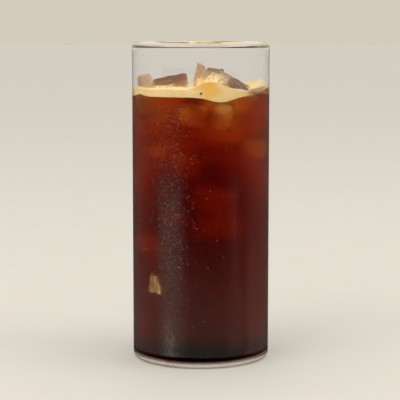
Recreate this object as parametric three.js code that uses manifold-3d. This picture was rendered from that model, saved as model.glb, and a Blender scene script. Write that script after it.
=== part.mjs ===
// A tall, straight glass of iced cold brew coffee: a clear tumbler with a rounded lip, the dark drink,
// the pale foam that floats on it and the ice cubes that stand out of the foam.
// Millimetres, +Z up. The origin is at the middle of the glass's base, and the viewer is at -Y.

import * as THREE from "three";
import { mergeVertices } from "three/addons/utils/BufferGeometryUtils.js";
import Module from "manifold-3d";

// Glass
const GLASS_HEIGHT = 162;
const GLASS_RADIUS = 35;
const WALL_THICKNESS = 1.8;
const BASE_THICKNESS = 2.2;
const HEEL_RADIUS = 2.4; // rounding between the wall and the base, outside
const WELL_RADIUS = 2.4; // rounding between the wall and the base, inside
const LIP_RADIUS = 1.65; // bead round the rim, flush with the outside of the wall

// Contents
const DRINK_LEVEL = 135; // where the foam starts
const FOAM_THICKNESS = 3.4;
const GAP = 0.3; // clearance between neighbouring pieces

// Swells of the two uneven surfaces. Azimuth and spread are degrees round the glass, 0 at the front and
// 90 at +X, rise is the height at the wall, and reach is how far the swell runs in from the wall.
const DRINK_SWELLS = [
  { azimuth: 17, spread: 13, rise: -2.4, reach: 9 },
  { azimuth: -62, spread: 8, rise: 1.1, reach: 6 },
  { azimuth: 62, spread: 20, rise: 1.3, reach: 8 },
];
const FOAM_SWELLS = [
  { azimuth: 10, spread: 14, rise: 4, reach: 10 },
  { azimuth: 62, spread: 17, rise: -1.2, reach: 12 },
  { azimuth: 112, spread: 30, rise: 3.4, reach: 2.5 },
  { azimuth: -150, spread: 34, rise: 1.2, reach: 4 },
];
// The foam's own small unevenness: two crossing ripples, their height and their radians a millimetre
const RIPPLE = 0.22;
const RIPPLE_ACROSS = { x: 0.42, start: 0.9 };
const RIPPLE_SLANTED = { x: -0.27, y: 0.35 };

// Ice cubes that show above the foam: width, depth and height, centre, turns about X, Y and Z in degrees,
// and the slope of the right-hand face, in degrees from upright
const ICE_CUBES = [
  { name: "ice_left", size: [8, 11, 22], at: [-25.9, -4.4, 134.6], turn: [8, -8, -3], slope: 14 },
  { name: "ice_long", size: [20, 15, 19], at: [-15.4, 11.6, 132.4], turn: [24, -7, 4], slope: 4 },
  { name: "ice_peak", size: [7, 7, 17], at: [0.2, -0.4, 141.6], turn: [6, 14, 8], slope: 32 },
  { name: "ice_tall", size: [11, 15, 22], at: [7.2, 13, 136.2], turn: [14, 2, -4], slope: 5 },
  { name: "ice_tilted", size: [22, 15, 21], at: [11, -12.8, 133], turn: [18, 37, 14], slope: 0 },
];
const ICE_EDGE_POWER = 18; // the higher, the sharper a cube's edges
const ICE_FACE_LEAN = 0.07; // how far a cube's faces lean out of square
const LEAN_BY_CUBE = 2.1; // radians by which the lean differs from one cube to the next
const LEAN_BY_FACE = 1.7; // radians by which it differs from one face to the next

// Fineness of the faceted surfaces
const ROUND_STEPS = 64;
const RING_STEPS = 9;
const ARC_STEPS = 5;
const LIP_STEPS = 11;
const ICE_STEPS = 6;

const INNER_RADIUS = GLASS_RADIUS - WALL_THICKNESS;
const FILL_RADIUS = INNER_RADIUS - GAP;
const FOAM_TOP = DRINK_LEVEL + FOAM_THICKNESS;

const wasm = await Module();
wasm.setup();

// A closed geometry as a solid that can be joined and cut.
function solidOf(geometry) {
  const bare = geometry.clone();
  bare.deleteAttribute("normal");
  bare.deleteAttribute("uv");
  const merged = mergeVertices(bare, 1e-4);
  return new wasm.Manifold(
    new wasm.Mesh({
      numProp: 3,
      vertProperties: merged.attributes.position.array,
      triVerts: new Uint32Array(merged.index.array),
    }),
  );
}

// The largest body of a solid as a geometry again, without the scraps that a cut leaves.
function geometryOf(solid) {
  const [body] = solid.decompose().sort((a, b) => b.volume() - a.volume());
  const mesh = body.getMesh();
  const geometry = new THREE.BufferGeometry();
  geometry.setAttribute("position", new THREE.BufferAttribute(mesh.vertProperties, 3));
  geometry.setIndex(new THREE.BufferAttribute(mesh.triVerts, 1));
  geometry.computeVertexNormals();
  return geometry;
}

// A profile of radius and height turned about Z.
function turned(profile) {
  return new THREE.LatheGeometry(profile, ROUND_STEPS).rotateX(Math.PI / 2);
}

// Points of an arc in a profile, from one angle to another in degrees.
function arc(centreRadius, centreHeight, radius, from, to, steps) {
  return Array.from({ length: steps + 1 }, (_, i) => {
    const angle = THREE.MathUtils.degToRad(from + ((to - from) * i) / steps);
    const along = centreRadius + radius * Math.cos(angle);
    return new THREE.Vector2(along, centreHeight + radius * Math.sin(angle));
  });
}

// Points of a profile that runs in from the wall to the axis at one height, or out from the axis.
function rings(radius, height, inwards) {
  const out = Array.from(
    { length: RING_STEPS },
    (_, i) => new THREE.Vector2((radius * i) / RING_STEPS, height),
  );
  return inwards ? out.reverse() : out;
}

// Sum of the swells at a point, each a bell round the glass that dies away inwards from the wall.
function swell(swells, x, y) {
  const azimuth = THREE.MathUtils.radToDeg(Math.atan2(x, -y));
  const inset = FILL_RADIUS - Math.hypot(x, y);
  return swells.reduce((sum, s) => {
    const turn = THREE.MathUtils.euclideanModulo(azimuth - s.azimuth + 180, 360) - 180;
    return sum + s.rise * Math.exp(-((turn / s.spread) ** 2) - (inset / s.reach) ** 2);
  }, 0);
}

function drinkHeight(x, y) {
  return DRINK_LEVEL + swell(DRINK_SWELLS, x, y);
}

function foamHeight(x, y) {
  const across = Math.sin(RIPPLE_ACROSS.x * x + RIPPLE_ACROSS.start);
  const slanted = Math.sin(RIPPLE_SLANTED.x * x + RIPPLE_SLANTED.y * y);
  return FOAM_TOP + RIPPLE * (across + slanted) + swell(FOAM_SWELLS, x, y);
}

// Lifts the vertices that lie at one flat height on to an uneven surface.
function lifted(geometry, flatHeight, surface) {
  const place = geometry.attributes.position;
  for (let i = 0; i < place.count; i++) {
    if (Math.abs(place.getZ(i) - flatHeight) < 1e-3)
      place.setZ(i, surface(place.getX(i), place.getY(i)));
  }
  return geometry;
}

function glassGeometry() {
  const lipEnd = 180 + THREE.MathUtils.radToDeg(Math.acos((WALL_THICKNESS - LIP_RADIUS) / LIP_RADIUS));
  const lipHeight = GLASS_HEIGHT - LIP_RADIUS;
  const wellHeight = BASE_THICKNESS + WELL_RADIUS;
  return turned([
    new THREE.Vector2(0, 0),
    ...arc(GLASS_RADIUS - HEEL_RADIUS, HEEL_RADIUS, HEEL_RADIUS, -90, 0, ARC_STEPS),
    ...arc(GLASS_RADIUS - LIP_RADIUS, lipHeight, LIP_RADIUS, 0, lipEnd, LIP_STEPS),
    ...arc(INNER_RADIUS - WELL_RADIUS, wellHeight, WELL_RADIUS, 0, -90, ARC_STEPS),
    new THREE.Vector2(0, BASE_THICKNESS),
  ]);
}

function drinkGeometry() {
  const wellHeight = BASE_THICKNESS + WELL_RADIUS;
  const wellRadius = WELL_RADIUS - GAP;
  const top = DRINK_LEVEL - GAP;
  const geometry = turned([
    new THREE.Vector2(0, wellHeight - wellRadius),
    ...arc(INNER_RADIUS - WELL_RADIUS, wellHeight, wellRadius, -90, 0, ARC_STEPS),
    new THREE.Vector2(FILL_RADIUS, top),
    ...rings(FILL_RADIUS, top, true),
  ]);
  return lifted(geometry, top, (x, y) => drinkHeight(x, y) - GAP);
}

function foamGeometry() {
  const geometry = turned([
    ...rings(FILL_RADIUS, DRINK_LEVEL, false),
    new THREE.Vector2(FILL_RADIUS, DRINK_LEVEL),
    new THREE.Vector2(FILL_RADIUS, FOAM_TOP),
    ...rings(FILL_RADIUS, FOAM_TOP, true),
  ]);
  lifted(geometry, DRINK_LEVEL, drinkHeight);
  return lifted(geometry, FOAM_TOP, foamHeight);
}

// Six faces of a cube, each with its distance from the centre and leaning a little its own way.
function iceFaces(half, slope, order) {
  const lean = (k) => ICE_FACE_LEAN * Math.sin(LEAN_BY_CUBE * order + LEAN_BY_FACE * k);
  return [0, 1, 2, 3, 4, 5].map((k) => {
    const axis = k % 3;
    const normal = [lean(k), lean(k + 6), lean(k + 12)];
    normal[axis] = k < 3 ? 1 : -1;
    if (k === 0) normal[2] += Math.tan(THREE.MathUtils.degToRad(slope));
    return { normal: new THREE.Vector3(...normal).normalize(), distance: half[axis] };
  });
}

// An ice cube about its own centre. Along each direction it reaches the power mean of the distances to
// its leaning faces, so that the faces stay nearly flat and the edges are rounded by melting.
function iceGeometry(cube, order, growth = 0) {
  const half = cube.size.map((side) => side / 2 + growth);
  const faces = iceFaces(half, cube.slope, order);
  const geometry = new THREE.BoxGeometry(...half.map((h) => 2 * h), ICE_STEPS, ICE_STEPS, ICE_STEPS);
  const place = geometry.attributes.position;
  const way = new THREE.Vector3();
  for (let i = 0; i < place.count; i++) {
    way.fromBufferAttribute(place, i).normalize();
    const sum = faces.reduce(
      (total, face) => total + Math.max(0, face.normal.dot(way) / face.distance) ** ICE_EDGE_POWER,
      0,
    );
    way.multiplyScalar(sum ** (-1 / ICE_EDGE_POWER));
    place.setXYZ(i, way.x, way.y, way.z);
  }
  return geometry;
}

function placeIce(object, cube) {
  object.position.set(...cube.at);
  object.rotation.set(...cube.turn.map(THREE.MathUtils.degToRad));
  object.updateMatrix();
  return object;
}

// All the ice, a gap larger all round, as one solid to cut the drink and the foam with.
function iceRoom() {
  return ICE_CUBES.map((cube, order) => {
    const room = placeIce(new THREE.Object3D(), cube);
    return solidOf(iceGeometry(cube, order, GAP).applyMatrix4(room.matrix));
  }).reduce((joined, room) => joined.add(room));
}

function named(name, geometry, material) {
  const mesh = new THREE.Mesh(geometry, material);
  mesh.name = name;
  return mesh;
}

const GLASS = new THREE.MeshStandardMaterial({
  color: 0xe9eef0,
  roughness: 0.03,
  metalness: 0,
  transparent: true,
  opacity: 0.25,
});
const DRINK = new THREE.MeshStandardMaterial({ color: 0x3a1509, roughness: 0.08, metalness: 0 });
const FOAM = new THREE.MeshStandardMaterial({ color: 0xe9c98f, roughness: 0.7, metalness: 0 });
const ICE = new THREE.MeshStandardMaterial({
  color: 0xd8cfc4,
  roughness: 0.1,
  metalness: 0,
  transparent: true,
  opacity: 0.6,
});

const room = iceRoom();
const icedCoffee = new THREE.Group();
icedCoffee.add(named("glass", glassGeometry(), GLASS));
icedCoffee.add(named("coffee", geometryOf(solidOf(drinkGeometry()).subtract(room)), DRINK));
icedCoffee.add(named("foam", geometryOf(solidOf(foamGeometry()).subtract(room)), FOAM));
ICE_CUBES.forEach((cube, order) => {
  icedCoffee.add(placeIce(named(cube.name, iceGeometry(cube, order), ICE), cube));
});

export default icedCoffee;
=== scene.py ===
"""Looks of a tall glass of iced cold brew coffee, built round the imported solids.

Every new piece is a surface worked out with numpy, in millimetres in the part's own frame: +Z up, the
origin at the middle of the glass's base and the viewer at -Y. Azimuth is 0 at the front and 90 degrees
at +X.
"""

import math

import bpy
import numpy as np
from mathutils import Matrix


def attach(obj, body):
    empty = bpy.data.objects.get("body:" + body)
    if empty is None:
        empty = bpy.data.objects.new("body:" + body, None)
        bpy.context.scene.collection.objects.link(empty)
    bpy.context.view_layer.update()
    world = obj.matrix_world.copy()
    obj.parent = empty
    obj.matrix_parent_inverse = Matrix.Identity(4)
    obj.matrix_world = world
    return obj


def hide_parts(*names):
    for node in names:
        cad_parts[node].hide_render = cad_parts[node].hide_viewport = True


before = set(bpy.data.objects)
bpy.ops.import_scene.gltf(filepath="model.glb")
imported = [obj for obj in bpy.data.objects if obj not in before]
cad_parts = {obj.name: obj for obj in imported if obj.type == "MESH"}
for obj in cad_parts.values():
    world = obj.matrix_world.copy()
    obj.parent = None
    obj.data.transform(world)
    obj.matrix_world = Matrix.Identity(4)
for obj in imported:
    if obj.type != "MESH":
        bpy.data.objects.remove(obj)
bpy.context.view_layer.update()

MM = 0.001

# Glass
GLASS_HEIGHT = 162.0
GLASS_RADIUS = 35.0
WALL_THICKNESS = 1.8
BASE_THICKNESS = 2.2
HEEL_RADIUS = 2.4
WELL_RADIUS = 2.4
LIP_RADIUS = 1.65
INNER_RADIUS = GLASS_RADIUS - WALL_THICKNESS
WELL_HEIGHT = BASE_THICKNESS + WELL_RADIUS
AROUND = 256  # points round each turned piece

# Contents
DRINK_LEVEL = 135.0
FOAM_THICKNESS = 3.4
FOAM_TOP = DRINK_LEVEL + FOAM_THICKNESS
FILL_RADIUS = INNER_RADIUS - 0.3  # where the swells below are measured from
INTO_WALL = 0.12  # how far the drink and the foam reach into the glass
INTO_DRINK = 0.1  # how far the ice reaches into the drink and the foam round it
FOAM_SINK = 0.3  # how far the foam's underside lies in the drink

# Swells of the two uneven surfaces: azimuth, spread, rise at the wall and reach inwards
DRINK_SWELLS = [(17, 13, -2.4, 9), (-62, 8, 1.1, 6), (62, 20, 1.3, 8)]
FOAM_SWELLS = [(10, 14, 4, 10), (62, 17, -1.2, 12), (112, 30, 3.4, 2.5), (-150, 34, 1.2, 4)]
RIPPLE = 0.22

# Ice that stands out of the foam: node, size, centre, turns about X, Y and Z, slope of the right-hand face
ICE_CUBES = [
    ("ice_left", (8, 11, 22), (-25.9, -4.4, 134.6), (8, -8, -3), 14),
    ("ice_long", (20, 15, 19), (-15.4, 11.6, 132.4), (24, -7, 4), 4),
    ("ice_peak", (7, 7, 17), (0.2, -0.4, 141.6), (6, 14, 8), 32),
    ("ice_tall", (11, 15, 22), (7.2, 13, 136.2), (14, 2, -4), 5),
    ("ice_tilted", (22, 15, 21), (11, -12.8, 133), (18, 37, 14), 0),
]

# Ice that is wholly under the surface: size, centre and turns
SUNK_ICE = [
    ((9.4, 8.3, 7.2), (-18, -14, 122.5), (0, 70, 25)),
    ((7.5, 14, 10), (-7.1, -12.4, 125), (4, 3, 6)),
    ((3.3, 12, 10), (-1.8, 12.2, 126.2), (3, -2, 2)),
    ((11, 6.4, 15), (10, -25.2, 125), (4, 6, 20)),
    ((8, 5, 8), (9.2, 2.3, 127), (14, 3, 4)),
    ((8, 6, 11), (7, 27.1, 124.1), (10, 3, -6)),
    ((13, 9, 13), (-3.8, -25.4, 125.8), (0, 4, -8)),
    ((17, 15, 13), (8.5, 11, 116.3), (6, 4, 75)),
    ((15, 13.5, 11.5), (-11.5, 13, 106), (10, 15, 20)),
    ((11, 12, 14), (-6, -11, 99.4), (8, 6, 20)),
    ((8, 8, 7), (-18.3, -9, 107.2), (25, 20, 35)),
    ((15, 13.5, 11.5), (23.8, -5, 108), (4, 5, 78)),
    ((19, 17, 15), (4.6, -6.5, 82.6), (6, 8, 20)),
    ((20, 18, 15), (6.4, 12, 67.2), (5, -7, -25)),
    ((12, 10.5, 9), (-11.5, -2, 73), (10, 30, 40)),
    ((15, 13.5, 11.5), (-20, 3, 58), (45, 35, -25)),
]
CHIP = ((6.5, 3, 9), (-21.7, -22.5, 41), (0, 8, -44))
CHIP_SLOPE = 28

ICE_FACE_LEAN = 0.07
ICE_EDGE_POWER = 18  # the higher, the sharper the edges
SUNK_EDGE_POWER = 3.5
WEAR = 0.12  # height of the waves of melting
MELT_WAVES = np.array([[0.9, 0.5, 0.3], [-0.4, 0.8, 0.6]])
ICE_STEPS = 30
SUNK_STEPS = 20
CHIP_STEPS = 16

# Edges that turn by more than this, in degrees, are shaded sharp
GLASS_SHARP = 40.0
CUBE_SHARP = 60.0
CUT_SHARP = 35.0

# Indices of refraction
GLASS_INDEX = 1.5
WATER_INDEX = 1.33
ICE_INDEX = 1.31


# Surfaces

def swell(swells, x, y):
    """Sum of bells round the glass: rise times exp(-(turn / spread)^2 - (inset from the wall / reach)^2)."""
    azimuth = np.degrees(np.arctan2(x, -y))
    inset = FILL_RADIUS - np.hypot(x, y)
    total = np.zeros_like(x)
    for at, width, rise, reach in swells:
        turn = (azimuth - at + 180.0) % 360.0 - 180.0
        total += rise * np.exp(-((turn / width) ** 2) - (inset / reach) ** 2)
    return total


def drink_height(x, y):
    """Level of the drink under the foam: the flat level and its swells."""
    return DRINK_LEVEL + swell(DRINK_SWELLS, x, y)


def foam_height(x, y):
    """Top of the foam: the flat top, two crossing ripples and the foam's swells."""
    ripple = RIPPLE * (np.sin(0.42 * x + 0.9) + np.sin(0.35 * y - 0.27 * x))
    return FOAM_TOP + ripple + swell(FOAM_SWELLS, x, y)


def arc(centre_radius, centre_height, radius, start, end, steps):
    """Rows of (radius, height) on an arc of a profile, angles in degrees."""
    angle = np.radians(np.linspace(start, end, steps + 1))
    return np.column_stack((centre_radius + radius * np.cos(angle), centre_height + radius * np.sin(angle)))


def line(start, end, steps):
    """Rows of (radius, height) on a straight stretch of a profile."""
    return np.linspace(start, end, steps + 1)


def bowl(inset):
    """Rows of (radius, height) from the axis along the base and round the well, an inset off the glass."""
    well = WELL_RADIUS - inset
    floor_radius = INNER_RADIUS - WELL_RADIUS
    return np.vstack((
        line((0.0, WELL_HEIGHT - well), (floor_radius, WELL_HEIGHT - well), 5)[:-1],
        arc(floor_radius, WELL_HEIGHT, well, -90.0, 0.0, 12),
    ))


def turned(profile):
    """Closed surface of revolution: each row (radius, height) of a profile that runs from the axis round to
    the axis again goes to (radius sin a, -radius cos a, height), with one point at each pole."""
    radius, height = profile.T
    angle = np.linspace(0.0, 2.0 * np.pi, AROUND, endpoint=False)
    x = radius[1:-1, None] * np.sin(angle)
    y = -radius[1:-1, None] * np.cos(angle)
    z = np.broadcast_to(height[1:-1, None], x.shape)
    rings = np.stack((x, y, z), axis=-1).reshape(-1, 3)
    poles = np.array([[0.0, 0.0, height[0]], [0.0, 0.0, height[-1]]])
    count = len(radius) - 2
    column = np.arange(AROUND)
    beside = (column + 1) % AROUND
    row = np.arange(count - 1)[:, None] * AROUND
    quads = np.stack((row + column, row + beside, row + AROUND + beside, row + AROUND + column), axis=-1)
    first = count * AROUND
    last = first + 1
    low = np.stack((np.full(AROUND, first), beside, column), axis=-1)
    top = (count - 1) * AROUND
    high = np.stack((np.full(AROUND, last), top + column, top + beside), axis=-1)
    return np.vstack((rings, poles)), quads.reshape(-1, 4).tolist() + low.tolist() + high.tolist()


def turn_matrix(turn):
    """Rotation by angles in degrees about X, then Y, then Z of the turned axes."""
    (cx, cy, cz), (sx, sy, sz) = np.cos(np.radians(turn)), np.sin(np.radians(turn))
    about_x = np.array([[1, 0, 0], [0, cx, -sx], [0, sx, cx]])
    about_y = np.array([[cy, 0, sy], [0, 1, 0], [-sy, 0, cy]])
    about_z = np.array([[cz, -sz, 0], [sz, cz, 0], [0, 0, 1]])
    return about_x @ about_y @ about_z


def box_grid(steps):
    """Closed grid over the six sides of the box from -1 to 1, finer near its edges, as points and quads."""
    side = np.sin(np.linspace(-0.5 * np.pi, 0.5 * np.pi, steps + 1))
    u, v = np.meshgrid(side, side, indexing="ij")
    one = np.ones_like(u)
    sheets = [(one, u, v), (-one, v, u), (v, one, u), (u, -one, v), (u, v, one), (v, u, -one)]
    points = np.concatenate([np.stack(sheet, axis=-1).reshape(-1, 3) for sheet in sheets])
    count = (steps + 1) ** 2
    corner = np.arange(count).reshape(steps + 1, steps + 1)
    cell = np.stack((corner[:-1, :-1], corner[1:, :-1], corner[1:, 1:], corner[:-1, 1:]), axis=-1)
    quads = np.concatenate([cell.reshape(-1, 4) + k * count for k in range(6)])
    shared, place = np.unique(np.round(points, 6), axis=0, return_inverse=True)
    return shared, place.reshape(-1)[quads]


def face_hold(way, half, slope, order, power):
    """How strongly each of a cube's six faces holds in a direction d: max(0, n.d / distance)^power. The
    normals n lean a little, by sines of the cube's and the face's number."""
    holds = []
    for k in range(6):
        normal = ICE_FACE_LEAN * np.sin(2.1 * order + 1.7 * (k + np.array([0, 6, 12])))
        normal[k % 3] = 1.0 if k < 3 else -1.0
        if k == 0:
            normal[2] += math.tan(math.radians(slope))
        normal /= np.linalg.norm(normal)
        holds.append(np.maximum(0.0, way @ normal / half[k % 3]) ** power)
    return np.stack(holds)


def box_ways(size, steps, growth):
    """Unit directions from a box's middle to a grid over its sides, half lengths and the grid's quads."""
    half = np.array(size) / 2.0 + growth
    grid, quads = box_grid(steps)
    way = grid * half
    return way / np.linalg.norm(way, axis=1, keepdims=True), half, quads


def ice_block(size, at, turn, slope, order, steps, growth, power):
    """Melted cube: along each direction it reaches (sum of its faces' holds)^(-1/power), so that faces stay
    nearly flat and edges are round, and two low waves of melting lie on that."""
    way, half, quads = box_ways(size, steps, growth)
    reach = face_hold(way, half, slope, order, power).sum(axis=0) ** (-1.0 / power)
    points = way * reach[:, None]
    wave = np.sin(points @ MELT_WAVES.T + order * np.array([1, 2])).sum(axis=1)
    points += way * (WEAR * wave)[:, None]
    return points @ turn_matrix(turn).T + np.array(at), quads


def cube_block(order, growth):
    """A cube that stands out of the foam, grown by a little all round."""
    node, size, at, turn, slope = ICE_CUBES[order]
    return ice_block(size, at, turn, slope, order, ICE_STEPS, growth, ICE_EDGE_POWER)


def cube_edges(order):
    """How near each point of such a cube is to an edge: twice what the strongest face leaves of the hold."""
    node, size, at, turn, slope = ICE_CUBES[order]
    way, half, quads = box_ways(size, ICE_STEPS, 0.0)
    holds = face_hold(way, half, slope, order, ICE_EDGE_POWER)
    return np.minimum(1.0, 2.0 - 2.0 * holds.max(axis=0) / holds.sum(axis=0))


def sunk_blocks(growth):
    """The sunk cubes, each grown by a little all round."""
    return [
        ice_block(size, at, turn, 0.0, len(ICE_CUBES) + k, SUNK_STEPS, growth, SUNK_EDGE_POWER)
        for k, (size, at, turn) in enumerate(SUNK_ICE)
    ]


def chip_block(growth):
    """The sunk chip, grown by a little all round."""
    return ice_block(*CHIP, CHIP_SLOPE, len(ICE_CUBES), CHIP_STEPS, growth, ICE_EDGE_POWER)


def joined(blocks):
    """Several closed surfaces as one set of points and faces."""
    points, faces, start = [], [], 0
    for block_points, block_faces in blocks:
        points.append(block_points)
        faces += (np.asarray(block_faces) + start).tolist()
        start += len(block_points)
    return np.vstack(points), faces


def piece(name, points, faces, *materials):
    """Mesh object at the origin from points in millimetres, shaded smooth."""
    mesh = bpy.data.meshes.new(name)
    mesh.from_pydata((points * MM).tolist(), [], [list(face) for face in faces])
    mesh.shade_smooth()
    for material in materials:
        mesh.materials.append(material)
    thing = bpy.data.objects.new(name, mesh)
    bpy.context.scene.collection.objects.link(thing)
    return thing


def cut(thing, cutter):
    """Takes a closed piece out of another for good, and removes the cutter."""
    boolean = thing.modifiers.new("cut", "BOOLEAN")
    boolean.operation = "DIFFERENCE"
    boolean.solver = "MANIFOLD"
    boolean.object = cutter
    graph = bpy.context.evaluated_depsgraph_get()
    whole = bpy.data.meshes.new_from_object(thing.evaluated_get(graph))
    whole.name = thing.name
    thing.modifiers.clear()
    thing.data = whole
    bpy.data.objects.remove(cutter)
    whole.shade_smooth()
    whole.set_sharp_from_angle(angle=math.radians(CUT_SHARP))


def places(items, what):
    """Places of a mesh's faces or points in millimetres."""
    found = np.empty(3 * len(items))
    items.foreach_get(what, found)
    return found.reshape(-1, 3) / MM


def tell(thing, name, values):
    """Gives each point of a piece a value for its material to read."""
    attribute = thing.data.attributes.new(name, "FLOAT", "POINT")
    attribute.data.foreach_set("value", values.astype(np.float32))


# Helpers for materials

NO_MIRROR = (0.0, 0.0, 0.0)


def shader(name):
    """New material, its node tree and its Principled shader."""
    material = bpy.data.materials.new(name)
    material.use_nodes = True
    tree = material.node_tree
    return material, tree, tree.nodes["Principled BSDF"]


def clear(principled, index, roughness=0.0, mirror=(1.0, 1.0, 1.0)):
    """Makes a shader clear, with an index of refraction and a tint of what it mirrors head-on."""
    principled.inputs["Base Color"].default_value = (1.0, 1.0, 1.0, 1.0)
    principled.inputs["Transmission Weight"].default_value = 1.0
    principled.inputs["IOR"].default_value = index
    principled.inputs["Roughness"].default_value = roughness
    principled.inputs["Specular Tint"].default_value = (*mirror, 1.0)


def two_ways(tree, factor, first, second):
    """Shows one shader or another by a factor."""
    mix = tree.nodes.new("ShaderNodeMixShader")
    tree.links.new(factor, mix.inputs[0])
    tree.links.new(first.outputs[0], mix.inputs[1])
    tree.links.new(second.outputs[0], mix.inputs[2])
    tree.links.new(mix.outputs[0], tree.nodes["Material Output"].inputs["Surface"])


def let_lamps_through(tree, principled):
    """Light from the lamps passes a clear piece unbent, so that what is behind it isn't in hard shadow."""
    path = tree.nodes.new("ShaderNodeLightPath")
    open_way = tree.nodes.new("ShaderNodeBsdfTransparent")
    two_ways(tree, path.outputs["Is Shadow Ray"], principled, open_way)


def darken_with_depth(tree, colour, density):
    """Fills a material with matter that takes each colour away with the light's way through it."""
    depth = tree.nodes.new("ShaderNodeVolumeAbsorption")
    depth.inputs["Color"].default_value = (*colour, 1.0)
    depth.inputs["Density"].default_value = density
    tree.links.new(depth.outputs[0], tree.nodes["Material Output"].inputs["Volume"])


def worked_out(tree, operation, *inputs):
    """Result of a Math node, each input a number or another node's output."""
    node = tree.nodes.new("ShaderNodeMath")
    node.operation = operation
    for socket, value in zip(node.inputs, inputs):
        if isinstance(value, float):
            socket.default_value = value
        else:
            tree.links.new(value, socket)
    return node.outputs[0]


def times(tree, first, *others):
    """Product of several values."""
    for other in others:
        first = worked_out(tree, "MULTIPLY", first, other)
    return first


def most(tree, first, *others):
    """The largest of several values."""
    for other in others:
        first = worked_out(tree, "MAXIMUM", first, other)
    return first


def rest_of(tree, share):
    """What a share leaves of one."""
    return worked_out(tree, "SUBTRACT", 1.0, share)


def spread(tree, value, low, high, to_low, to_high):
    """A value from one range carried smoothly to another."""
    ramp = tree.nodes.new("ShaderNodeMapRange")
    ramp.interpolation_type = "SMOOTHSTEP"
    for name, limit in (("From Min", low), ("From Max", high), ("To Min", to_low), ("To Max", to_high)):
        ramp.inputs[name].default_value = limit
    tree.links.new(value, ramp.inputs["Value"])
    return ramp.outputs["Result"]


def by_height(tree, height, low, high, to_low, to_high):
    """A value that changes smoothly between two heights in millimetres."""
    return spread(tree, height, low * MM, high * MM, to_low, to_high)


def noise(tree, where, scale, detail=2.0, roughness=0.5):
    """Cloudy values round a half, in grains of about 1 / scale metres."""
    texture = tree.nodes.new("ShaderNodeTexNoise")
    texture.inputs["Scale"].default_value = scale
    texture.inputs["Detail"].default_value = detail
    texture.inputs["Roughness"].default_value = roughness
    tree.links.new(where, texture.inputs["Vector"])
    return texture.outputs["Fac"]


def bump(tree, principled, height, distance):
    """Fine relief on a shader, its height in millimetres."""
    relief = tree.nodes.new("ShaderNodeBump")
    relief.inputs["Distance"].default_value = distance * MM
    tree.links.new(height, relief.inputs["Height"])
    tree.links.new(relief.outputs["Normal"], principled.inputs["Normal"])


def place_of(tree):
    """Object coordinates."""
    return tree.nodes.new("ShaderNodeTexCoord").outputs["Object"]


def axes_of(tree, where):
    """X, Y and Z of coordinates or of a direction."""
    parts = tree.nodes.new("ShaderNodeSeparateXYZ")
    tree.links.new(where, parts.inputs[0])
    return parts.outputs


def told(tree, name):
    """A value that the piece's points carry."""
    attribute = tree.nodes.new("ShaderNodeAttribute")
    attribute.attribute_name = name
    return attribute.outputs["Fac"]


def wavering(tree, where, scale, reach):
    """Coordinates shaken by noise, so that the edge of a patch isn't drawn with a ruler."""
    texture = tree.nodes.new("ShaderNodeTexNoise")
    texture.inputs["Scale"].default_value = scale
    tree.links.new(where, texture.inputs["Vector"])
    shift = tree.nodes.new("ShaderNodeVectorMath")
    shift.operation = "MULTIPLY_ADD"
    shift.inputs[1].default_value = (2.0 * reach * MM,) * 3
    tree.links.new(texture.outputs["Color"], shift.inputs[0])
    tree.links.new(where, shift.inputs[2])
    centred = tree.nodes.new("ShaderNodeVectorMath")
    centred.operation = "SUBTRACT"
    centred.inputs[1].default_value = (reach * MM,) * 3
    tree.links.new(shift.outputs[0], centred.inputs[0])
    return centred.outputs[0]


def patch(tree, where, centre, reach, soft):
    """One inside an ellipsoid of a centre and half lengths in millimetres, and nothing outside."""
    local = tree.nodes.new("ShaderNodeMapping")
    local.inputs["Location"].default_value = [-c / r for c, r in zip(centre, reach)]
    local.inputs["Scale"].default_value = [1.0 / (r * MM) for r in reach]
    tree.links.new(where, local.inputs["Vector"])
    length = tree.nodes.new("ShaderNodeVectorMath")
    length.operation = "LENGTH"
    tree.links.new(local.outputs[0], length.inputs[0])
    return spread(tree, length.outputs["Value"], 1.0 - soft, 1.0 + soft, 1.0, 0.0)


def blended(tree, factor, first, second):
    """Colour between two, each a constant or another colour's output."""
    mix = tree.nodes.new("ShaderNodeMix")
    mix.data_type = "RGBA"
    for name, colour in (("A", first), ("B", second)):
        if isinstance(colour, tuple):
            mix.inputs[name].default_value = (*colour, 1.0)
        else:
            tree.links.new(colour, mix.inputs[name])
    tree.links.new(factor, mix.inputs["Factor"])
    return mix.outputs["Result"]


# Glass

def glass_profile():
    """Rows of (radius, height) from the axis under the base, round the heel, up the outside, over the lip,
    down the inside and round the well to the axis."""
    lip_height = GLASS_HEIGHT - LIP_RADIUS
    lip_end = 180.0 + math.degrees(math.acos((WALL_THICKNESS - LIP_RADIUS) / LIP_RADIUS))
    lip = arc(GLASS_RADIUS - LIP_RADIUS, lip_height, LIP_RADIUS, 0.0, lip_end, 28)
    return np.vstack((
        line((0.0, 0.0), (GLASS_RADIUS - HEEL_RADIUS, 0.0), 6)[:-1],
        arc(GLASS_RADIUS - HEEL_RADIUS, HEEL_RADIUS, HEEL_RADIUS, -90.0, 0.0, 14),
        line((GLASS_RADIUS, HEEL_RADIUS), (GLASS_RADIUS, FOAM_TOP), 24)[1:],
        line((GLASS_RADIUS, FOAM_TOP), (GLASS_RADIUS, lip_height), 6)[1:-1],
        lip,
        line(lip[-1], (INNER_RADIUS, DRINK_LEVEL), 6)[1:],
        line((INNER_RADIUS, DRINK_LEVEL), (INNER_RADIUS, WELL_HEIGHT), 24)[1:-1],
        arc(INNER_RADIUS - WELL_RADIUS, WELL_HEIGHT, WELL_RADIUS, 0.0, -90.0, 14),
        line((INNER_RADIUS - WELL_RADIUS, BASE_THICKNESS), (0.0, BASE_THICKNESS), 6)[1:],
    ))


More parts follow.
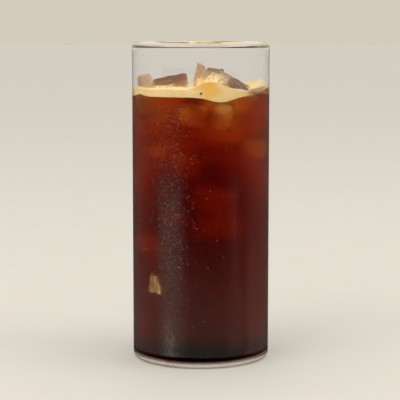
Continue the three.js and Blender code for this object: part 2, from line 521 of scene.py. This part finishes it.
FOG = (1.0, 0.95, 0.90)
PORE = (0.60, 0.46, 0.40)
FOG_MIRROR = (0.05, 0.05, 0.05)
FOG_ROUGHNESS = (0.283, 0.30)
FOG_RELIEF = 0.015
FOG_START = 0.4  # depth below the drink's level at which the fog is full
FOOT = (5.2, 6.2)  # heights between which the fog ends at the foot
HEEL = (2.0, 3.0)  # heights between which the painted highlight at the heel ends
# share of light that the heel scatters, a painted highlight in place of light caught by the glass's bottom
# edge
HEEL_SHEEN = 0.40
HAZE_AND_SHEEN = 0.016  # share of light that the fog scatters near the foot of the glass, partly painted sheen in place of the bright floor mirrored there
HAZE_AND_SHEEN_HEIGHTS = (75.0, 10.0)  # where that haze and painted sheen starts and is full

WET_SIDE = -26.0  # azimuth of the thickest dew
# Upright stripe of dew: azimuth, reach in degrees, heights where it starts and is full
DEW_BAND = (WET_SIDE, 21, 133, 95)
# The same for stripes of painted sheen, in place of bright surroundings mirrored in the fog, and the share
# of light that each adds to the haze
SHEEN_STRIPES = [
    (WET_SIDE, 18, 112, 70, 0.028),
    (WET_SIDE, 9, 30, 12, 0.034),
    (28, 9, 105, 85, 0.006),
    (47, 9, 125, 30, 0.007),
    (62, 14, 30, 10, 0.010),
    (-66, 16, 40, 15, 0.006),
]


def round_the_glass(tree, where):
    """Azimuth on the glass in degrees, 0 at the front and 90 at +X."""
    axes = axes_of(tree, where)
    forward = worked_out(tree, "MULTIPLY", axes["Y"], -1.0)
    return worked_out(tree, "DEGREES", worked_out(tree, "ARCTAN2", axes["X"], forward))


def stripe(tree, azimuth, height, centre, reach, highest, lowest):
    """Soft upright stripe on the glass: one at its azimuth and nothing a reach away, growing downwards
    between two heights in millimetres."""
    left = spread(tree, azimuth, centre - reach, centre, 0.0, 1.0)
    right = spread(tree, azimuth, centre, centre + reach, 1.0, 0.0)
    growing = by_height(tree, height, highest, lowest, 0.0, 1.0)
    return times(tree, left, right, growing)


def dewy_glass():
    """Clear glass, fogged with fine dew on the outside up to the drink's level. The fog blurs what is behind
    it and scatters a little light itself, most in a few upright stripes and towards the foot; these stripes
    and the growth towards the foot are painted sheen, in place of bright surroundings mirrored in the fog,
    and the pale band at the heel is a painted highlight."""
    material, tree, principled = shader("dewy_glass")
    clear(principled, GLASS_INDEX, 0.0, FOG_MIRROR)
    where = place_of(tree)
    height = axes_of(tree, where)["Z"]
    cold = spread(tree, told(tree, "depth"), 0.0, FOG_START, 0.0, 1.0)
    foot = by_height(tree, height, *FOOT, 0.0, 1.0)
    blur = spread(tree, noise(tree, where, 60.0, 3.0), 0.3, 0.7, *FOG_ROUGHNESS)
    tree.links.new(times(tree, cold, blur, foot), principled.inputs["Roughness"])
    grains = times(tree, noise(tree, where, 1400.0), cold)
    bump(tree, principled, grains, FOG_RELIEF)
    azimuth = round_the_glass(tree, wavering(tree, where, 90.0, 2.0))
    # darker pores between the drops speckle the painted sheen of the dew band
    between_drops = spread(tree, noise(tree, where, 1100.0, 2.0, 0.6), 0.50, 0.60, 0.0, 1.0)
    pores = times(tree, stripe(tree, azimuth, height, *DEW_BAND), between_drops)
    tree.links.new(blended(tree, pores, FOG, PORE), principled.inputs["Base Color"])
    # painted sheen: fog haze that grows towards the foot and in upright stripes, where bright surroundings
    # would be mirrored
    haze_and_sheen = by_height(tree, height, *HAZE_AND_SHEEN_HEIGHTS, 0.0, HAZE_AND_SHEEN)
    for *form, strength in SHEEN_STRIPES:
        haze_and_sheen = worked_out(tree, "MULTIPLY_ADD", stripe(tree, azimuth, height, *form), strength, haze_and_sheen)
    speckle = spread(tree, noise(tree, where, 900.0, 3.0, 0.7), 0.40, 0.60, 0.6, 1.4)
    # painted highlight: a pale band at the heel
    heel = by_height(tree, height, *HEEL, HEEL_SHEEN, 0.0)
    haze_and_sheen = most(tree, times(tree, haze_and_sheen, speckle, foot), heel)
    tree.links.new(rest_of(tree, haze_and_sheen), principled.inputs["Transmission Weight"])
    let_lamps_through(tree, principled)
    return material


def plain_glass():
    """Clear, dry glass above the drink."""
    material, tree, principled = shader("plain_glass")
    clear(principled, GLASS_INDEX)
    let_lamps_through(tree, principled)
    return material


def wetted_glass():
    """Inside of the glass where the drink touches it, which mirrors nothing."""
    material, tree, principled = shader("wetted_glass")
    clear(principled, GLASS_INDEX, 0.0, NO_MIRROR)
    let_lamps_through(tree, principled)
    return material


DEWY, PLAIN, WETTED = range(3)
NEAR = 0.05

glass = piece("tumbler", *turned(glass_profile()), dewy_glass(), plain_glass(), wetted_glass())
middle_x, middle_y, middle_z = places(glass.data.polygons, "center").T
inside = (np.hypot(middle_x, middle_y) < INNER_RADIUS + NEAR) & (middle_z > BASE_THICKNESS - NEAR)
kinds = np.where(inside, np.where(middle_z < DRINK_LEVEL, WETTED, PLAIN), DEWY)
kinds[middle_z > FOAM_TOP] = PLAIN
glass.data.polygons.foreach_set("material_index", kinds.astype(np.int32))
glass.data.set_sharp_from_angle(angle=math.radians(GLASS_SHARP))
glass_x, glass_y, glass_z = places(glass.data.vertices, "co").T
to_wall = FILL_RADIUS / np.maximum(np.hypot(glass_x, glass_y), 1.0)
tell(glass, "depth", drink_height(glass_x * to_wall, glass_y * to_wall) - glass_z)
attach(glass, "root")
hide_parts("glass")

# Ice

CREAM = (0.99, 0.79, 0.43)
ICE_ROUGHNESS = 0.06
ICE_MIRROR = (0.15, 0.14, 0.13)
ABOVE_DRINK = (133.5, 138.5)  # heights between which ice in the drink turns into ice above it
NEAR_FOAM = (143.0, 138.5)  # heights between which the stain turns paler towards the foam
STAIN = (0.19, 0.056, 0.008)
WEAK_STAIN = (0.28, 0.095, 0.02)
LOW_STAIN = (0.44, 0.20, 0.05)
PALE_STAIN = (0.62, 0.45, 0.30)
BARE_STAIN = (0.12, 0.04, 0.01)
# pale edges, partly frost and partly painted glints
FROST_AND_GLINT_EDGE = (0.74, 0.50, 0.28)
WET_ICE = (1.0, 0.97, 0.88)
MURKY_ICE = (0.54, 0.30, 0.12)
MILK = 0.38  # share of light that ice above the drink scatters
FILM_CLEARNESS = 0.03
FLOATING_RELIEF = 0.1
SUNK_RELIEF = 0.3


def floating_ice():
    """Wet ice, stained brown above the drink, with pale edges that are partly frost and partly painted
    glints, and foam left on it in patches.
    """
    material, tree, principled = shader("floating_ice")
    clear(principled, ICE_INDEX, ICE_ROUGHNESS, ICE_MIRROR)
    where = place_of(tree)
    height = axes_of(tree, where)["Z"]
    shaken = wavering(tree, where, 260.0, 1.8)
    above = by_height(tree, height, *ABOVE_DRINK, 0.0, 1.0)

    cloud = spread(tree, noise(tree, where, 170.0, 4.0, 0.6), 0.35, 0.70, 0.0, 1.0)
    tone = blended(tree, cloud, STAIN, WEAK_STAIN)
    tone = blended(tree, by_height(tree, height, *NEAR_FOAM, 0.0, 0.8), tone, LOW_STAIN)
    pale_left = patch(tree, shaken, (-27, -4, 141), (7, 9, 9), 0.3)
    pale_peak = patch(tree, shaken, (0, 0, 147), (6, 7, 7), 0.3)
    tone = blended(tree, most(tree, pale_left, pale_peak), tone, PALE_STAIN)
    bare = patch(tree, shaken, (19, -17, 140), (7, 12, 5), 0.2)
    tone = blended(tree, spread(tree, bare, 0.0, 1.0, 0.0, 0.8), tone, BARE_STAIN)
    # pale edges: partly frost, partly painted glints where light would catch the edges
    frost_and_glint = spread(tree, noise(tree, where, 500.0), 0.40, 0.60, 0.0, 0.6)
    tone = blended(tree, times(tree, told(tree, "edge"), frost_and_glint), tone, FROST_AND_GLINT_EDGE)
    murk = patch(tree, where, (-26, -4, 127), (9, 10, 9), 0.2)
    tone = blended(tree, above, blended(tree, murk, WET_ICE, MURKY_ICE), tone)

    mound = patch(tree, shaken, (7, -14, 138), (10, 16, 8.5), 0.35)
    veil = patch(tree, shaken, (3, 3, 139.5), (9, 13, 6), 0.4)
    skirt = patch(tree, shaken, (2, 2, 137.5), (60, 60, 2.0), 0.4)
    mottle = spread(tree, noise(tree, where, 520.0, 3.0), 0.35, 0.60, 0.72, 1.0)
    film = times(tree, most(tree, mound, veil, skirt), rest_of(tree, bare), above, mottle)
    tree.links.new(blended(tree, film, tone, CREAM), principled.inputs["Base Color"])
    solid = most(tree, film, by_height(tree, height, *ABOVE_DRINK, 0.0, MILK))
    clearness = spread(tree, solid, 0.0, 1.0, 1.0, FILM_CLEARNESS)
    tree.links.new(clearness, principled.inputs["Transmission Weight"])
    bump(tree, principled, noise(tree, where, 420.0, 3.0), FLOATING_RELIEF)
    let_lamps_through(tree, principled)
    return material


def sunk_ice():
    """Clear ice under the surface, which mirrors next to nothing in the drink."""
    material, tree, principled = shader("sunk_ice")
    clear(principled, ICE_INDEX, ICE_ROUGHNESS, NO_MIRROR)
    where = place_of(tree)
    cloud = spread(tree, noise(tree, where, 130.0, 4.0, 0.6), 0.45, 0.75, 1.0, 0.95)
    tree.links.new(cloud, principled.inputs["Transmission Weight"])
    bump(tree, principled, noise(tree, where, 300.0, 3.0), SUNK_RELIEF)
    let_lamps_through(tree, principled)
    return material


CLOUDY_ROUGHNESS = 0.3
CLOUDY_CLEARNESS = 0.15
DARK_STREAK = (0.48, 0.19, 0.055)
# painted glint: the chip's pale gold streaks
GLINT_STREAK = (1.0, 0.70, 0.29)
STREAK_SHAPE = (1.0, 1.0, 0.35)
STREAK_RELIEF = 0.3


def cloudy_ice():
    """Cracked, cloudy ice with upright streaks, pale gold in the drink; the pale gold streaks are a painted
    glint in place of light caught near the wall.
    """
    material, tree, principled = shader("cloudy_ice")
    clear(principled, ICE_INDEX, CLOUDY_ROUGHNESS)
    principled.inputs["Transmission Weight"].default_value = CLOUDY_CLEARNESS
    drawn_out = tree.nodes.new("ShaderNodeMapping")
    drawn_out.inputs["Scale"].default_value = STREAK_SHAPE
    tree.links.new(place_of(tree), drawn_out.inputs["Vector"])
    streaks = spread(tree, noise(tree, drawn_out.outputs[0], 700.0, 3.0), 0.40, 0.62, 0.0, 1.0)
    tree.links.new(blended(tree, streaks, DARK_STREAK, GLINT_STREAK), principled.inputs["Base Color"])
    bump(tree, principled, streaks, STREAK_RELIEF)
    return material


def ice_room(name):
    """The floating ice, a little smaller, to cut its room out of the drink or the foam with."""
    return piece(name, *joined(cube_block(order, -INTO_DRINK) for order in range(len(ICE_CUBES))))


stained_ice = floating_ice()
for order, row in enumerate(ICE_CUBES):
    node = row[0]
    cube = piece(node.replace("ice", "cube"), *cube_block(order, 0.0), stained_ice)
    cube.data.set_sharp_from_angle(angle=math.radians(CUBE_SHARP))
    tell(cube, "edge", cube_edges(order))
    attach(cube, "root")
    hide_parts(node)

sunk = piece("sunk_cubes", *joined(sunk_blocks(0.0)), sunk_ice())
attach(sunk, "root")

chip = piece("sunk_chip", *chip_block(0.0), cloudy_ice())
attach(chip, "root")

# Drink

BREW = (0.846, 0.517, 0.0)
BREW_DENSITY = 145.0
SETTLED_BREW = (0.83, 0.58, 0.0)

# Stronger drink: name, top at the axis, top at the wall, density and how far it stays off the glass. The
# dense layer at the foot is painted shade, dark where no light comes from under the glass
SETTLED = [
    ("settled_brew_high", 108.0, 124.0, 45.0, 0.3),
    ("settled_brew_low", 101.0, 66.0, 95.0, 0.5),
    # painted shade: a thin, very dark layer that darkens the bottom of the drink
    ("foot_shade_brew", 2.6, 4.3, 1500.0, 0.7),
]


def drink_surface():
    """Turned body of the drink that reaches into the wall, its top lifted on to the drink's level."""
    outer = INNER_RADIUS + INTO_WALL
    points, faces = turned(np.vstack((
        bowl(-INTO_WALL),
        line((outer, WELL_HEIGHT), (outer, DRINK_LEVEL), 12)[1:],
        line((outer, DRINK_LEVEL), (0.0, DRINK_LEVEL), 44)[1:],
    )))
    top = points[:, 2] > DRINK_LEVEL - 1e-6
    points[top, 2] = drink_height(points[top, 0], points[top, 1]) - 0.5 * FOAM_SINK
    return points, faces


def settled_surface(top, edge, inset):
    """Turned body inside the drink: its top goes from the axis to the wall with the cube of the radius."""
    outer = INNER_RADIUS - inset
    radius = np.linspace(outer, 0.0, 40)
    return turned(np.vstack((
        bowl(inset),
        line((outer, WELL_HEIGHT), (outer, edge), 8)[1:-1],
        np.column_stack((radius, top - (top - edge) * (radius / outer) ** 3)),
    )))


def brewed_coffee():
    """Clear dark drink: each colour fades with the way through it, blue first and red last."""
    material, tree, principled = shader("brewed_coffee")
    clear(principled, WATER_INDEX, 0.0, NO_MIRROR)
    darken_with_depth(tree, BREW, BREW_DENSITY)
    return material


def settled_coffee(name, density):
    """The stronger drink lower down, which bends no light and only darkens what it fills; the thin layer at
    the foot is painted shade.
    """
    material, tree, principled = shader(name)
    clear(principled, 1.0, 0.0, NO_MIRROR)
    darken_with_depth(tree, SETTLED_BREW, density)
    return material


coffee = piece("cold_brew", *drink_surface(), brewed_coffee())
cut(coffee, ice_room("room_in_drink"))
cut(coffee, piece("sunk_room", *joined(sunk_blocks(-INTO_DRINK))))
cut(coffee, piece("chip_room", *chip_block(-INTO_DRINK)))
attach(coffee, "root")
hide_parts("coffee")

lowest_cube = min(at[2] for size, at, turn in SUNK_ICE)
for name, top, edge, density, inset in SETTLED:
    settled = piece(name, *settled_surface(top, edge, inset), settled_coffee(name, density))
    if top > lowest_cube:
        off_ice = 0.5 * inset
        cut(settled, piece("settled_room", *joined(sunk_blocks(off_ice))))
        cut(settled, piece("chip_room", *chip_block(off_ice)))
    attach(settled, "root")

# Foam

GOLD = (0.98, 0.58, 0.10)
TAN = (0.80, 0.52, 0.20)
BROWN_FOAM = (0.40, 0.19, 0.07)
DARK_SPECK = (0.05, 0.02, 0.01)
FOAM_ROUGHNESS = 0.5
FOAM_GLOW = 0.3  # share of light that goes under the foam's surface
FOAM_GLOW_REACH = (1.0, 0.6, 0.25)
FOAM_GLOW_SCALE = 1.5
BUBBLE_SCALE = 1500.0
BUBBLE_RELIEF = 0.2


def foam_surface():
    """Turned layer between the drink's level and the foam's top, which has two sets of low crossed waves."""
    outer = INNER_RADIUS + INTO_WALL
    points, faces = turned(np.vstack((
        line((0.0, DRINK_LEVEL), (outer, DRINK_LEVEL), 44)[:-1],
        line((outer, DRINK_LEVEL), (outer, FOAM_TOP), 8)[:-1],
        line((outer, FOAM_TOP), (0.0, FOAM_TOP), 110),
    )))
    x, y, flat = points.T.copy()
    low = drink_height(x, y) - FOAM_SINK
    wide_waves = 0.12 * np.sin(1.9 * x + 0.7 * y) * np.sin(2.3 * y - 0.8 * x + 1.0)
    fine_waves = 0.07 * np.sin(4.1 * x + 2.0) * np.sin(3.7 * y)
    high = foam_height(x, y) + wide_waves + fine_waves
    share = (flat - DRINK_LEVEL) / FOAM_THICKNESS
    points[:, 2] = low + share * (high - low)
    return points, faces


def pale_foam():
    """Fine cream foam, golden in places and browner where it is thin, with small bubbles and one speck."""
    material, tree, principled = shader("pale_foam")
    where = place_of(tree)
    clouds = spread(tree, noise(tree, where, 90.0, 3.0), 0.50, 0.78, 0.0, 0.7)
    gilt = patch(tree, wavering(tree, where, 110.0, 7.0), (3, -31, 139), (5, 10, 5), 0.9)
    tone = blended(tree, most(tree, clouds, gilt), CREAM, GOLD)
    grains = spread(tree, noise(tree, where, 800.0, 3.0, 0.6), 0.48, 0.66, 0.0, 0.4)
    tone = blended(tree, grains, tone, TAN)
    thin = patch(tree, wavering(tree, where, 240.0, 3.0), (30, -14, 136), (9, 16, 4), 0.4)
    tone = blended(tree, thin, tone, BROWN_FOAM)
    speck = patch(tree, where, (0.1, -33.2, 136.6), (0.6, 1.5, 0.6), 0.3)
    tone = blended(tree, speck, tone, DARK_SPECK)
    tree.links.new(tone, principled.inputs["Base Color"])
    principled.inputs["Roughness"].default_value = FOAM_ROUGHNESS
    principled.inputs["Subsurface Weight"].default_value = FOAM_GLOW
    principled.inputs["Subsurface Radius"].default_value = FOAM_GLOW_REACH
    principled.inputs["Subsurface Scale"].default_value = FOAM_GLOW_SCALE * MM
    bubbles = tree.nodes.new("ShaderNodeTexVoronoi")
    bubbles.inputs["Scale"].default_value = BUBBLE_SCALE
    tree.links.new(where, bubbles.inputs["Vector"])
    bump(tree, principled, bubbles.outputs["Distance"], BUBBLE_RELIEF)
    return material


foam = piece("foam_layer", *foam_surface(), pale_foam())
cut(foam, ice_room("room_in_foam"))
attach(foam, "root")
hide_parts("foam")

# Dew

DEW_SEED = 7
DROPS = 3200
DROPS_IN_BAND = 0.65  # share of the drops that lies in the thick band
BAND_SPREAD = 9.0
BAND_FOOT = 10.0
BAND_LENGTH = 122.0
BAND_BETA = (2.2, 1.2)  # how the band's drops gather towards its top
DEW_FOOT = 6.0
DEW_LENGTH = 127.0
SMALLEST_DROP = 0.10
DROP_RANGE = 0.24
DROP_SIDES = 6
DROP_RINGS = ((1.0, -0.12), (0.68, 0.32))  # reach and rise of each ring, in radii of the drop
DROP_TIP = 0.45
DROP_ROUGHNESS = 0.3
LOW_DEW = (0.92, 0.87, 0.83)
AMBER_LIT_DEW = (0.95, 0.60, 0.46)
AMBER_DEW = (80.0, 100.0)  # heights between which the drops take on a painted amber, the drink's light seen through them


def dew_drops():
    """Low drops on the outside: caps of two rings and a tip, set by a seeded draw of azimuth, height and
    size, most of them in one upright band."""
    draw = np.random.default_rng(DEW_SEED)
    azimuth = draw.uniform(0.0, 2.0 * np.pi, DROPS)
    thick = np.arange(DROPS) < DROPS_IN_BAND * DROPS
    azimuth[thick] = np.radians(draw.normal(WET_SIDE, BAND_SPREAD, thick.sum()))
    height = DEW_FOOT + DEW_LENGTH * draw.uniform(0.0, 1.0, DROPS)
    height[thick] = BAND_FOOT + BAND_LENGTH * draw.beta(*BAND_BETA, thick.sum())
    size = SMALLEST_DROP + DROP_RANGE * draw.uniform(0.0, 1.0, DROPS) ** 4
    angle = np.linspace(0.0, 2.0 * np.pi, DROP_SIDES, endpoint=False)
    rings = [
        np.stack((reach * np.cos(angle), reach * np.sin(angle), np.full(DROP_SIDES, rise)), axis=-1)
        for reach, rise in DROP_RINGS
    ]
    shape = np.vstack((*rings, [[0.0, 0.0, DROP_TIP]]))
    across = size[:, None] * shape[:, 0] / GLASS_RADIUS + azimuth[:, None]
    up = size[:, None] * shape[:, 1] + height[:, None]
    radius = GLASS_RADIUS + size[:, None] * shape[:, 2]
    points = np.stack((radius * np.sin(across), -radius * np.cos(across), up), axis=-1).reshape(-1, 3)
    column = np.arange(DROP_SIDES)
    beside = (column + 1) % DROP_SIDES
    band = np.stack((column, beside, DROP_SIDES + beside, DROP_SIDES + column), axis=-1)
    tip = np.full(DROP_SIDES, 2 * DROP_SIDES)
    cap = np.stack((DROP_SIDES + column, DROP_SIDES + beside, tip), axis=-1)
    start = len(shape) * np.arange(DROPS)[:, None, None]
    faces = (band + start).reshape(-1, 4).tolist() + (cap + start).reshape(-1, 3).tolist()
    faces += (column[::-1] + start[:, 0]).tolist()
    return points, faces


def dew_water():
    """Water that is a little milky with the fog round it; near the top it is painted amber, in place of the
    drink's light shining through the drops.
    """
    material, tree, principled = shader("dew_water")
    clear(principled, WATER_INDEX, DROP_ROUGHNESS)
    where = place_of(tree)
    lit = by_height(tree, axes_of(tree, where)["Z"], *AMBER_DEW, 0.0, 1.0)
    # painted light: drops near the top tinted with the amber of the lit drink behind them
    tree.links.new(blended(tree, lit, LOW_DEW, AMBER_LIT_DEW), principled.inputs["Base Color"])
    clearness = spread(tree, noise(tree, where, 500.0), 0.35, 0.65, 0.99, 0.94)
    tree.links.new(clearness, principled.inputs["Transmission Weight"])
    let_lamps_through(tree, principled)
    return material


dew = piece("dew", *dew_drops(), dew_water())
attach(dew, "root")

# Floor

FLOOR_DROP = 0.2
FLOOR_REACH = 60000.0
FLOOR_TONES = ((0.685, 0.66, 0.61), (0.695, 0.67, 0.62))
FLOOR_ROUGHNESS = 0.7
FLOOR_IN_GLOSS = (0.07, 0.066, 0.06)


def mirrored_ray(tree):
    """One for what is seen in a mirror reflection, nothing for what is seen straight or through glass."""
    path = tree.nodes.new("ShaderNodeLightPath")
    return times(tree, path.outputs["Is Glossy Ray"], path.outputs["Is Reflection Ray"])


def pale_floor():
    """Pale matt floor that shows darker in gloss."""
    material, tree, principled = shader("pale_floor")
    grain = spread(tree, noise(tree, place_of(tree), 25.0, 4.0), 0.3, 0.7, 0.0, 1.0)
    tree.links.new(blended(tree, grain, *FLOOR_TONES), principled.inputs["Base Color"])
    principled.inputs["Roughness"].default_value = FLOOR_ROUGHNESS
    dim = tree.nodes.new("ShaderNodeBsdfDiffuse")
    dim.inputs["Color"].default_value = (*FLOOR_IN_GLOSS, 1.0)
    two_ways(tree, mirrored_ray(tree), principled, dim)
    return material


floor_points = FLOOR_REACH * np.array([[-1, -1, 0], [1, -1, 0], [1, 1, 0], [-1, 1, 0]], float)
floor_points[:, 2] = -FLOOR_DROP
floor = piece("floor", floor_points, [(0, 1, 2, 3)], pale_floor())

# Light

LAMP_AIM = 0.08  # height of the point that the lamps are turned to, in metres
BACKDROP = (0.65, 0.605, 0.505)
DAYLIGHT = (0.98, 0.95, 0.90)
DIM = (0.08, 0.076, 0.07)


def softbox(name, azimuth, height, distance, width, tall, watts, colour):
    """Area lamp at an azimuth round the glass, sizes in metres, turned to the glass's middle and unseen."""
    lamp = bpy.data.lights.new(name, "AREA")
    lamp.shape = "RECTANGLE"
    lamp.size = width
    lamp.size_y = tall
    lamp.energy = watts
    lamp.color = colour
    thing = bpy.data.objects.new(name, lamp)
    angle = math.radians(azimuth)
    thing.location = (distance * math.sin(angle), -distance * math.cos(angle), height)
    fall = math.atan2(height - LAMP_AIM, distance)
    thing.rotation_euler = (0.5 * math.pi - fall, 0.0, angle)
    thing.visible_camera = False
    thing.visible_glossy = False
    bpy.context.scene.collection.objects.link(thing)


def studio():
    """Pale world: a backdrop to look at, daylight for matt things, and for mirrors dim in front and bright
    from above."""
    world = bpy.data.worlds.new("studio")
    world.use_nodes = True
    tree = world.node_tree
    axes = axes_of(tree, tree.nodes.new("ShaderNodeTexCoord").outputs["Generated"])
    in_front = spread(tree, axes["Y"], 0.55, 0.95, 1.0, 0.0)
    overhead = spread(tree, axes["Z"], 0.2, 0.45, 0.0, 1.0)
    scattered = tree.nodes.new("ShaderNodeLightPath").outputs["Is Diffuse Ray"]
    tone = blended(tree, scattered, BACKDROP, DAYLIGHT)
    mirrored = times(tree, in_front, mirrored_ray(tree))
    tone = blended(tree, mirrored, tone, blended(tree, overhead, DIM, DAYLIGHT))
    tree.links.new(tone, tree.nodes["Background"].inputs["Color"])
    return world


softbox(
    "left_softbox", azimuth=-46.0, height=0.9, distance=1.3,
    width=1.3, tall=1.0, watts=7.5, colour=(1.0, 0.97, 0.93),
)
softbox(
    "right_softbox", azimuth=75.0, height=0.9, distance=1.4,
    width=1.2, tall=0.8, watts=6.0, colour=(1.0, 0.96, 0.92),
)
scene = bpy.context.scene
scene.world = studio()

# Camera, in metres and degrees

PICTURE_PIXELS = 400.0
FOCAL_PIXELS = 1328.0
SENSOR_WIDTH = 36.0
CAMERA_PLACE = (-0.0004, -0.680, 0.162)
CAMERA_PITCH = 6.82
NEAREST_SEEN = 0.01
CLEAR_BOUNCES = 40  # enough for light through glass, drink and ice

lens = bpy.data.cameras.new("camera")
lens.sensor_width = SENSOR_WIDTH
lens.lens = SENSOR_WIDTH * FOCAL_PIXELS / PICTURE_PIXELS
lens.clip_start = NEAREST_SEEN
camera = bpy.data.objects.new("camera", lens)
camera.location = CAMERA_PLACE
camera.rotation_euler = (math.radians(90.0 - CAMERA_PITCH), 0.0, 0.0)
scene.collection.objects.link(camera)
scene.camera = camera

scene.view_settings.view_transform = "Standard"
scene.cycles.max_bounces = CLEAR_BOUNCES
scene.cycles.transmission_bounces = CLEAR_BOUNCES
scene.cycles.transparent_max_bounces = CLEAR_BOUNCES
scene.cycles.glossy_bounces = 12
scene.cycles.diffuse_bounces = 4
